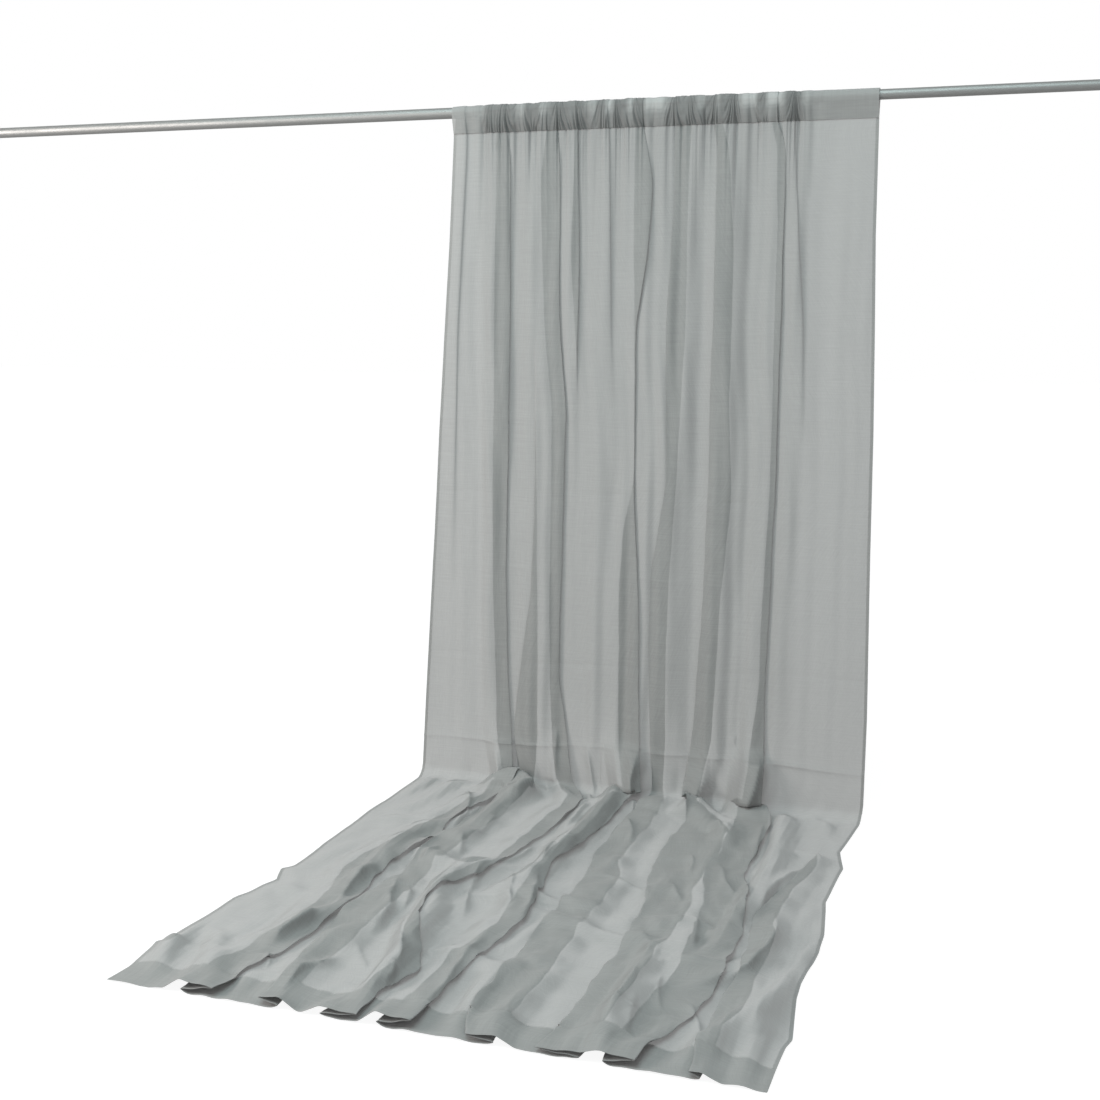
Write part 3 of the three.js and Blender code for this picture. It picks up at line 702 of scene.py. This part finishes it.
# Materials -----------------------------------------------------------------------------------------
class Nodes:
    """A short way to write a node material."""

    def __init__(self, name):
        self.material = bpy.data.materials.new(name)
        self.material.use_nodes = True
        self.tree = self.material.node_tree
        self.shader = next(n for n in self.tree.nodes if n.type == "BSDF_PRINCIPLED")

    def add(self, kind, settings=(), **inputs):
        node = self.tree.nodes.new(kind)
        for key, value in dict(settings).items():
            setattr(node, key, value)
        for key, value in inputs.items():
            self.feed(node.inputs[key.replace("_", " ")], value)
        return node

    def feed(self, socket, value):
        if isinstance(value, bpy.types.NodeSocket):
            self.tree.links.new(value, socket)
        else:
            socket.default_value = value

    def math(self, operation, a, b=0.0):
        node = self.tree.nodes.new("ShaderNodeMath")
        node.operation = operation
        self.feed(node.inputs[0], a)
        self.feed(node.inputs[1], b)
        return node.outputs[0]

    def spread(self, value, low, high, to_low=0.0, to_high=1.0):
        node = self.tree.nodes.new("ShaderNodeMapRange")
        for socket, number in zip(list(node.inputs)[:5], (value, low, high, to_low, to_high)):
            self.feed(socket, number)
        return node.outputs[0]

    def mix(self, factor, a, b):
        node = self.tree.nodes.new("ShaderNodeMix")
        node.data_type = "RGBA"
        self.feed(node.inputs[0], factor)
        self.feed(node.inputs[6], a)
        self.feed(node.inputs[7], b)
        return node.outputs[2]

    def noise(self, vector, scale, detail=4.0):
        return self.add("ShaderNodeTexNoise", Vector=vector, Scale=scale, Detail=detail).outputs[0]

    def bump(self, height, strength, distance):
        return self.add("ShaderNodeBump", Height=height, Strength=strength, Distance=distance).outputs[0]

    def set(self, **sockets):
        for key, value in sockets.items():
            self.feed(self.shader.inputs[key.replace("_", " ")], value)
        return self.material


def shade(tint, factor):
    return (*[channel * factor for channel in tint], 1)


def voile_material(name, cover, tint):
    """Sheer plain weave: fine threads with gaps between them, uneven yarn and a dull sheen.

    Its cover is the share of the light that one layer stops. The cloth covers more where it turns, and
    its colour is darkened there as painted shade; where it is pressed on the bright rod its colour is
    lightened as a painted highlight of the rod.
    """
    n = Nodes(name)
    uv = n.add("ShaderNodeTexCoord").outputs["UV"]
    split = n.add("ShaderNodeSeparateXYZ", Vector=uv)
    weft, warp = (
        n.math("SINE", n.math("MULTIPLY", split.outputs[way], 2 * math.pi / THREAD_PITCH))
        for way in (0, 1)
    )
    weave = n.math("MAXIMUM", weft, warp)
    stretched = n.add("ShaderNodeMapping", Vector=uv)
    stretched.inputs["Scale"].default_value = (1.0, 0.05, 1.0)
    slub = n.noise(stretched.outputs[0], 260.0, 3.0)
    crossed = n.add("ShaderNodeMapping", Vector=uv)
    crossed.inputs["Scale"].default_value = (0.05, 1.0, 1.0)
    slub_weft = n.noise(crossed.outputs[0], 230.0, 3.0)
    cloud = n.noise(uv, 7.0, 5.0)
    yarn = n.math("ADD", n.math("MULTIPLY", slub, 0.5), n.math("MULTIPLY", slub_weft, 0.5))
    colour = n.mix(n.spread(yarn, 0.35, 0.65), shade(tint, 0.93), shade(tint, 1.07))
    colour = n.mix(n.spread(cloud, 0.3, 0.7, 0.0, 0.35), colour, shade(tint, 0.94))
    turn = n.add("ShaderNodeAttribute", {"attribute_name": "turn"}).outputs["Fac"]
    # Painted shade: the colour darkens where the turn value is high, in folds, tucks and on steep flanks.
    colour = n.mix(n.spread(turn, 0.1, 0.9, 0.0, 0.8), colour, shade(tint, 0.45))
    # Painted highlight: the colour lightens where the pocket is pressed on the bright rod and the turn is
    # below zero.
    colour = n.mix(n.spread(turn, -1.0, 0.0, 1.0, 0.0), colour, shade(tint, 1.7))
    gaps = n.spread(weave, -0.2, 0.9, cover - 0.03, cover + 0.02)
    uneven = n.math("ADD", gaps, n.spread(yarn, 0.3, 0.7, -0.02, 0.02))
    alpha = n.math("ADD", uneven, n.spread(turn, 0.0, 0.15, 0.0, 0.08))
    height = n.math("ADD", n.math("MULTIPLY", weave, 0.5), yarn)
    return n.set(
        Base_Color=colour,
        Roughness=n.spread(cloud, 0.3, 0.7, 0.74, 0.88),
        Alpha=alpha,
        Normal=n.bump(height, 0.12, 0.0004),
        Sheen_Weight=0.25,
        Sheen_Roughness=0.5,
        Specular_IOR_Level=0.25,
    )


def metal_material(name, tint, roughness, grain=(1.0, 40.0, 40.0), wear=0.35):
    """Brushed and lacquered steel: fine lines along the grain, faint smudges and small scuffs."""
    n = Nodes(name)
    place = n.add("ShaderNodeTexCoord").outputs["Object"]
    lines = n.add("ShaderNodeMapping", Vector=place)
    lines.inputs["Scale"].default_value = grain
    brushed = n.noise(lines.outputs[0], 38.0, 8.0)
    smudge = n.noise(place, 11.0, 4.0)
    scuffs = n.spread(n.noise(place, 240.0, 2.0), 0.66, 0.72)
    colour = n.mix(n.spread(brushed, 0.35, 0.65), shade(tint, 0.9), shade(tint, 1.08))
    colour = n.mix(n.math("MULTIPLY", scuffs, wear), colour, shade(tint, 0.7))
    lined = n.spread(brushed, 0.3, 0.7, roughness - 0.05, roughness + 0.05)
    rough = n.math("ADD", lined, n.spread(smudge, 0.4, 0.7, 0, 0.08))
    return n.set(
        Base_Color=colour,
        Metallic=0.75,
        Roughness=rough,
        Normal=n.bump(brushed, 0.12, 0.0003),
        Coat_Weight=0.15,
        Coat_Roughness=0.25,
    )


def nylon_material():
    """Moulded nylon: slightly cloudy, with fine moulding grain."""
    n = Nodes("moulded_nylon")
    place = n.add("ShaderNodeTexCoord").outputs["Object"]
    cloud = n.noise(place, 60.0)
    grain = n.noise(place, 900.0, 2.0)
    return n.set(
        Base_Color=n.mix(cloud, (0.62, 0.62, 0.59, 1), (0.72, 0.72, 0.70, 1)),
        Roughness=n.spread(grain, 0.3, 0.7, 0.42, 0.55),
        Normal=n.bump(grain, 0.2, 0.0002),
        Subsurface_Weight=0.05,
    )


def thread_material():
    """Sewing thread: twisted strands."""
    n = Nodes("sewing_thread")
    place = n.add("ShaderNodeTexCoord").outputs["Object"]
    twist = n.noise(place, 2500.0, 2.0)
    return n.set(
        Base_Color=n.mix(twist, (0.24, 0.25, 0.24, 1), (0.34, 0.34, 0.33, 1)),
        Roughness=0.7,
        Normal=n.bump(twist, 0.4, 0.0002),
        Sheen_Weight=0.2,
    )


CLOTH_TINT = (0.388, 0.385, 0.380)
voile = voile_material("voile_weave", 0.83, CLOTH_TINT)
thread = thread_material()
rod_metal = metal_material("brushed_rod_metal", (0.40, 0.40, 0.395), 0.52)
bracket_metal = metal_material("satin_bracket_metal", (0.40, 0.40, 0.39), 0.38, (14.0, 14.0, 14.0))
screw_metal = metal_material("screw_steel_metal", (0.33, 0.33, 0.34), 0.32, (20.0, 20.0, 20.0), 0.5)
nylon = nylon_material()

# CAD pieces that stay: better materials, and smooth shading that keeps edges sharp above 32 degrees
FINISHES = {
    "brushed_rod": rod_metal,
    "bracket_metal": bracket_metal,
    "screw_steel": screw_metal,
    "nylon": nylon,
}
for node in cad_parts.values():
    slot = node.material_slots[0]
    if slot.material.name not in FINISHES:
        continue
    slot.material = FINISHES[slot.material.name]
    if "custom_normal" in node.data.attributes:
        node.data.attributes.remove(node.data.attributes["custom_normal"])
    node.data.shade_smooth()
    node.modifiers.new("weld", "WELD").merge_threshold = 0.00001
    split = node.modifiers.new("edges", "EDGE_SPLIT")
    split.split_angle = math.radians(32)

# The cloth -----------------------------------------------------------------------------------------
def cloth_piece(name, points, uvs, turn):
    """A named piece of cloth from a grid of points."""
    rows, columns = points.shape[:2]
    faces = grid_faces(rows, columns)
    return mesh_object(name, points.reshape(-1, 3), faces, voile, uvs.reshape(-1, 2), turn)


hem_start = DROP + TRAIN_END - HEM_DEPTH
cloth_stations = stations_down(STITCH_DROP, hem_start)
panel = cloth_rows(cloth_stations)
panel_points, panel_uvs, panel_turn = place_cloth(panel, cloth_stations)
cloth = cloth_piece("hanging_cloth", panel_points, panel_uvs, panel_turn)

# The hem: the cloth's end turned under and back to the hem's stitch line
hem_stations = np.linspace(hem_start, DROP + TRAIN_END - 0.0015, 9)
hem_rows = cloth_rows(hem_stations)
over, over_uvs, over_turn = place_cloth(hem_rows, hem_stations)
under = over[::-1].copy()
under[..., 2] = np.maximum(under[..., 2] - HEM_GAP, FLOOR_Z + 0.0004)
nose = (over[-1:] + under[:1]) / 2
nose[..., 1] -= HEM_GAP
hem = cloth_piece(
    "turned_hem",
    np.concatenate([over, nose, under]),
    np.concatenate([over_uvs, over_uvs[-1:], over_uvs[::-1]]),
    np.concatenate([over_turn, over_turn[-1:], over_turn[::-1]]),
)


# The pocket: the cloth goes up the back of the rod, over it and down the front to the stitch line
def pocket_path(radius):
    """Its section round the rod: places, outward directions and how slack it is, from front to back."""
    lean = math.asin(radius / STITCH_DROP)
    low = np.array([0.0, -STITCH_DROP])
    arc = np.linspace(-lean, math.pi + lean, 21)
    touch = radius * np.array([math.cos(lean), -math.sin(lean)])
    outward = np.array([math.cos(lean), -math.sin(lean)])
    path, normals, slack = [], [], []
    for share in np.linspace(0, 1, 10)[:-1]:
        path.append(low + (touch - low) * share)
        normals.append(outward)
        slack.append(1 - share)
    for angle in arc:
        direction = np.array([math.cos(angle), math.sin(angle)])
        path.append(radius * direction)
        normals.append(direction)
        slack.append(0.0)
    for share in np.linspace(1, 0, 10)[1:]:
        path.append((low + (touch - low) * share) * [-1, 1])
        normals.append(outward * [-1, 1])
        slack.append(1 - share)
    return np.array(path), np.array(normals), np.array(slack)[:, None]


def pocket_cloth():
    """The pocket's points, texture places and turn, its cloth tucked and pressed round the rod."""
    columns = 3 * COLUMNS
    top = cloth_rows(np.array([STITCH_DROP]), columns)
    path, normals, slack = pocket_path(ROD_RADIUS + POCKET_CLEARANCE)
    shape = (len(path), columns)
    across = np.broadcast_to(top["across"], shape)
    along = np.broadcast_to(top["along"], shape)
    round_rod = np.linspace(0, POCKET_AROUND, len(path))[:, None]
    tucks = small_gathers(across, round_rod)
    fullness = 0.25 + 0.75 * slack ** 0.6
    bulge = 0.004 * np.sin(np.pi * slack) * gathered(across)
    raised = np.maximum((top["lift"] + tucks + 0.003) * fullness + bulge, 0.0004)
    x = PANEL_X + across
    y = ROD_Y - path[:, :1] - raised * normals[:, :1]
    z = path[:, 1:] + raised * normals[:, 1:] * (1 - slack ** 4)
    uvs = np.stack([along, np.broadcast_to(round_rod, shape)], axis=-1)
    slope = np.gradient(raised, axis=1) / np.gradient(along, axis=1)
    # Steep tucks and bunched clusters get more turn, so the material darkens them: painted shade.
    steep = POCKET_TURN * (1 - 1 / np.sqrt(1 + slope ** 2))
    upright = ease(1.5 * np.abs(normals[:, :1]))
    # Where the pocket is pressed on the rod the turn goes below zero, and the material lightens the
    # colour: a painted highlight of the rod.
    pressed_highlight = upright * (1 - ease(3 * slack)) * (1 - bunched(across)) * (0.25 + 0.75 * gathered(across))
    turn = np.clip(top["turn"] + CLUSTER_TURN * bunched(across) + steep - PRESSED_ROD_HIGHLIGHT * pressed_highlight, -1, 1)
    return np.stack([x, y, z], axis=-1), uvs, turn


pocket = cloth_piece("gathered_pocket", *pocket_cloth())


# The side hems: narrow turnings behind the cloth's two edges
def side_hem(name, points, stations, columns):
    """A turning behind one edge. The edge column and one just inside it say which way it goes."""
    edge, inner = points[:, columns[0]], points[:, columns[1]]
    inward = inner - edge
    inward[:, 1:] = 0
    inward /= np.linalg.norm(inward, axis=1)[:, None]
    back = np.zeros_like(edge)
    angle = middle_line(stations)[2]
    back[:, 1], back[:, 2] = np.cos(angle), -np.sin(angle)
    strips = [edge - inward * 0.0006 + back * 0.0004]
    strips += [edge + inward * share * SIDE_HEM + back * 0.0010 for share in (0.0, 0.5, 1.0)]
    made = np.stack(strips, axis=1)
    made[..., 2] = np.maximum(made[..., 2], FLOOR_Z + 0.0006)
    across = np.array([0, 0.0005, 0.5 * SIDE_HEM, SIDE_HEM])
    uvs = np.stack(np.broadcast_arrays(across[None, :], -stations[:, None]), axis=-1)
    return cloth_piece(name, made, uvs, np.zeros(made.shape[:2]))


strip_stations = np.concatenate([cloth_stations, hem_stations[1:]])
all_points = np.concatenate([panel_points, over[1:]])
left_hem = side_hem("left_turned_edge", all_points, strip_stations, (0, 3))
right_hem = side_hem("right_turned_edge", all_points, strip_stations, (-1, -4))


# Stitching: one small sunk loop of thread after another
def stitches(name, line, pitch=0.0036, length=0.0026, radius=0.00028):
    """A seam along a line. Each stitch is a short four-sided spindle, thickest in its middle."""
    line = line[np.concatenate([[True], np.linalg.norm(np.diff(line, axis=0), axis=1) > 1e-5])]
    gone = np.concatenate([[0], np.cumsum(np.linalg.norm(np.diff(line, axis=0), axis=1))])
    starts = np.arange(pitch, gone[-1] - length, pitch)
    points, faces = [], []
    for start in starts:
        a, b = (
            np.array([np.interp(start + part, gone, line[:, axis]) for axis in range(3)])
            for part in (0, length)
        )
        ahead = (b - a) / max(np.linalg.norm(b - a), 1e-9)
        side = np.cross(ahead, (0.0, -0.6, 0.8))
        side /= np.linalg.norm(side)
        up = np.cross(side, ahead)
        first = len(points)
        for share, swell in ((0, 0.45), (0.5, 1.0), (1, 0.45)):
            centre = a + (b - a) * share
            reach = radius * swell
            points += [centre + reach * spoke for spoke in (side, up, -side, -up)]
        for ring in (first, first + 4):
            faces += [
                [ring + k, ring + (k + 1) % 4, ring + 4 + (k + 1) % 4, ring + 4 + k] for k in range(4)
            ]
        faces.append([first + 3, first + 2, first + 1, first])
        faces.append([first + 8, first + 9, first + 10, first + 11])
    return mesh_object(name, points, faces, thread)


pocket_seam = stitches("pocket_stitching", panel_points[0] + [0, -0.0005, 0.001])
hem_seam = stitches("hem_stitching", over[0] + [0, 0, 0.0003])

# Each piece: its body, its slot and the CAD that it stands for.
CLOTH_PIECES = [
    (cloth, "curtain", "voile", ("hanging_panel", "floor_bend", "train")),
    (hem, "curtain", "hem_voile", ("bottom_hem",)),
    (pocket, "curtain", "hem_voile", ("rod_pocket",)),
    (right_hem, "curtain", "hem_voile", ("right_side_hem", "right_train_hem")),
    (left_hem, "leading_edge", "hem_voile", ("left_side_hem", "left_train_hem")),
    (pocket_seam, "curtain", "hem_voile", ()),
    (hem_seam, "curtain", "hem_voile", ()),
]
for piece, body, slot_name, stands_for in CLOTH_PIECES:
    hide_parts(*stands_for)
    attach(piece, body)
    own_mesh(piece)

# Floor, light and camera ---------------------------------------------------------------------------
# The studio is white to the camera, and lights the cloth evenly but less
AMBIENT = 0.42
FLOOR_GLOW = 0.3
FLOOR_WHITE = 0.9

floor_look = Nodes("pale_floor")
floor_seen = floor_look.add("ShaderNodeLightPath").outputs["Is Camera Ray"]
floor_look.set(
    Base_Color=(0.2, 0.2, 0.2, 1),
    Roughness=0.9,
    Emission_Color=(1, 1, 1, 1),
    Emission_Strength=floor_look.spread(floor_seen, 0.0, 1.0, FLOOR_GLOW, FLOOR_WHITE),
)
floor = mesh_object(
    "floor",
    [(-30, -30, FLOOR_Z), (30, -30, FLOOR_Z), (30, 30, FLOOR_Z), (-30, 30, FLOOR_Z)],
    [(0, 1, 2, 3)],
    floor_look.material,
    smooth=False,
)


def area_light(name, place, target, size, power, colour):
    data = bpy.data.lights.new(name, "AREA")
    data.shape = "RECTANGLE"
    data.size, data.size_y = size
    data.energy = power
    data.color = colour
    lamp = link(bpy.data.objects.new(name, data))
    lamp.location = place
    lamp.rotation_euler = (Vector(target) - Vector(place)).to_track_quat("-Z", "Y").to_euler()


area_light("overhead_softbox", (0.2, -3.1, 2.6), (0.4, -1.7, -2.4), (4.0, 2.8), 120, (0.77, 1.0, 1.0))
area_light("left_softbox", (-4.0, -3.2, 0.2), (0.6, -0.2, -1.2), (1.6, 2.6), 140, (1.0, 0.94, 0.90))

world = bpy.data.worlds.new("white_studio")
bpy.context.scene.world = world
world.use_nodes = True
sky = world.node_tree
seen = sky.nodes.new("ShaderNodeLightPath").outputs["Is Camera Ray"]
strength = sky.nodes.new("ShaderNodeMapRange")
strength.inputs["To Min"].default_value = AMBIENT
sky.links.new(seen, strength.inputs["Value"])
sky.links.new(strength.outputs[0], sky.nodes["Background"].inputs["Strength"])
sky.nodes["Background"].inputs["Color"].default_value = (1, 1, 1, 1)

# The photo's camera, worked out from the rod, the curtain's corners and the train
CAMERA_PLACE = (2.034, -5.155, -0.661)
CAMERA_LENS = 49.09
SENSOR_WIDTH = 36
DEGREES_DOWN = 9.351
DEGREES_LEFT = 19.01

camera_data = bpy.data.cameras.new("camera")
camera_data.lens = CAMERA_LENS
camera_data.sensor_width = SENSOR_WIDTH
camera = link(bpy.data.objects.new("camera", camera_data))
camera.location = CAMERA_PLACE
camera.rotation_euler = (math.radians(90 - DEGREES_DOWN), 0, math.radians(DEGREES_LEFT))
bpy.context.scene.camera = camera
bpy.context.scene.view_settings.view_transform = "Standard"
bpy.context.scene.cycles.transparent_max_bounces = 32
